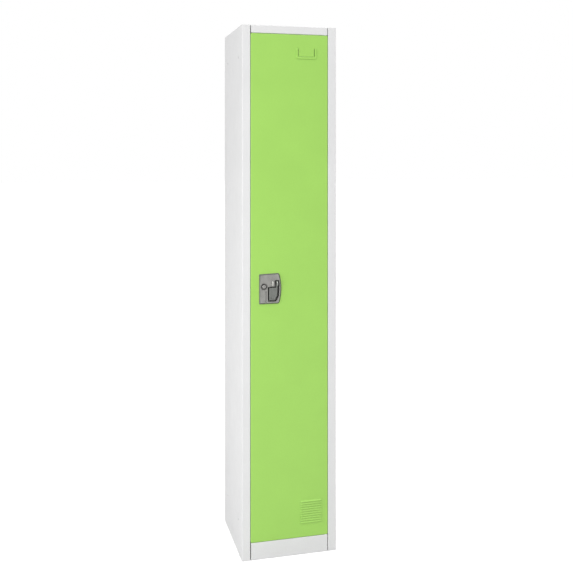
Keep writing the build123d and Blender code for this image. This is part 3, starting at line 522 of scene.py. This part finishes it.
def weld_marks(name, places, outward, body, finish):
    """The marks where an electrode pressed the sheet, as one mesh. Outward is the sheet's normal."""
    shape = bmesh.new()
    turn = Vector((0, 0, 1)).rotation_difference(Vector(outward)).to_matrix()
    for place in places:
        weld_mark(shape, turn, Vector(place))
    mesh = bpy.data.meshes.new(name)
    shape.to_mesh(mesh)
    shape.free()
    for face in mesh.polygons:
        face.use_smooth = True
    mesh.materials.append(finish)
    marks = bpy.data.objects.new(name, mesh)
    bpy.context.scene.collection.objects.link(marks)
    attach(marks, body)


def evenly(low, high, count):
    """Count places from low to high, both included."""
    return [low + (high - low) * k / (count - 1) for k in range(count)]


def add_welds(finishes):
    """Rows of marks down the door stiffener's flanges and along both shelf brackets."""
    door_paint, inner_paint = finishes["door_paint"], finishes["inner_paint"]
    low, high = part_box("door_stiffener")
    rear = low.y + SHEET
    columns = (low.x + STIFFENER_WELD_INSET, high.x - STIFFENER_WELD_INSET)
    heights = evenly(low.z + STIFFENER_END_GAP, high.z - STIFFENER_END_GAP, STIFFENER_WELDS)
    rows = [(x, rear, z) for x in columns for z in heights]
    weld_marks("door_stiffener_welds", rows, (0, 1, 0), "door", door_paint)
    low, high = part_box("left_shelf_bracket")
    height = low.z + BRACKET_WELD_RISE
    depths = evenly(low.y + BRACKET_END_GAP, high.y - BRACKET_END_GAP, BRACKET_WELDS)
    for name, side in (("left", 1), ("right", -1)):
        wall = side * (low.x + BRACKET_SHEET)
        row = [(wall, y, height) for y in depths]
        weld_marks(f"{name}_bracket_welds", row, (side, 0, 0), "carcass", inner_paint)


# ---- light and floor -----------------------------------------------------------------------------
SKY_LOW = 0.52
SKY_RISE = 0.75
FLOOR_HALF = 40.0
FLOOR_WHITE = 0.95
FLOOR_LIFT = 0.10
FLOOR_BOUNCE = 0.60
FLOOR_MOTTLE = 0.005
FLOOR_MOTTLE_SCALE = 3.0
WHITE = (1.0, 1.0, 1.0)
KEY_PLACE = (-1.9, FRONT - 1.1, 1.05)
KEY_TARGET = (0.0, FRONT, 0.95)
KEY_SIZE = 1.8
KEY_POWER = 36.0
OVERHEAD_PLACE = (1.2, FRONT - 2.1, 5.0)
OVERHEAD_TARGET = (0.0, FRONT, 0.3)
OVERHEAD_SIZE = 1.4
OVERHEAD_POWER = 60.0


def make_sky():
    """A white surround, brighter overhead. The camera sees it as plain white."""
    world = bpy.data.worlds.new("studio")
    bpy.context.scene.world = world
    world.use_nodes = True
    tree = world.node_tree
    tree.nodes.clear()
    direction = add(tree, "ShaderNodeTexCoord").outputs["Generated"]
    height = add(tree, "ShaderNodeSeparateXYZ", {"Vector": direction}).outputs["Z"]
    light = spread(tree, height, 0.0, 1.0, SKY_LOW, SKY_LOW + SKY_RISE)
    seen = add(tree, "ShaderNodeLightPath").outputs["Is Camera Ray"]
    strength = maths(tree, "MAXIMUM", light, seen)
    background = add(tree, "ShaderNodeBackground", {"Color": rgba(WHITE), "Strength": strength})
    output = add(tree, "ShaderNodeOutputWorld")
    tree.links.new(background.outputs["Background"], output.inputs["Surface"])


def softbox(name, place, target, size, power):
    """A square area light aimed at a point."""
    light = bpy.data.lights.new(name, "AREA")
    light.shape = "SQUARE"
    light.size = size
    light.energy = power
    holder = bpy.data.objects.new(name, light)
    bpy.context.scene.collection.objects.link(holder)
    holder.location = place
    holder.rotation_euler = (Vector(target) - Vector(place)).to_track_quat("-Z", "Y").to_euler()
    holder.visible_camera = False


def make_floor():
    """A pale floor. The camera sees it as white, and it throws less light up than it shows."""
    mesh = bpy.data.meshes.new("floor")
    far = FLOOR_HALF
    corners = [(-far, -far, 0), (far, -far, 0), (far, far, 0), (-far, far, 0)]
    mesh.from_pydata(corners, [], [(0, 1, 2, 3)])
    floor = bpy.data.objects.new("floor", mesh)
    bpy.context.scene.collection.objects.link(floor)
    material, tree = new_material("floor")
    grain = noise(tree, place_of(tree), FLOOR_MOTTLE_SCALE)
    seen = add(tree, "ShaderNodeLightPath").outputs["Is Camera Ray"]
    darker = scaled(WHITE, FLOOR_WHITE - FLOOR_MOTTLE)
    lighter = scaled(WHITE, FLOOR_WHITE + FLOOR_MOTTLE)
    base = tint(tree, seen, scaled(WHITE, FLOOR_BOUNCE), tint(tree, grain, darker, lighter))
    close(tree, {
        "Base Color": base,
        "Roughness": 0.9,
        "Specular IOR Level": 0.0,
        "Emission Color": rgba(WHITE),
        "Emission Strength": times(tree, seen, FLOOR_LIFT),
    })
    mesh.materials.append(material)


make_camera()
make_sky()
softbox("key", KEY_PLACE, KEY_TARGET, KEY_SIZE, KEY_POWER)
softbox("overhead", OVERHEAD_PLACE, OVERHEAD_TARGET, OVERHEAD_SIZE, OVERHEAD_POWER)
make_floor()
finishes = make_finishes()
dress_nodes(finishes)
add_welds(finishes)
bpy.context.scene.view_settings.view_transform = "Standard"
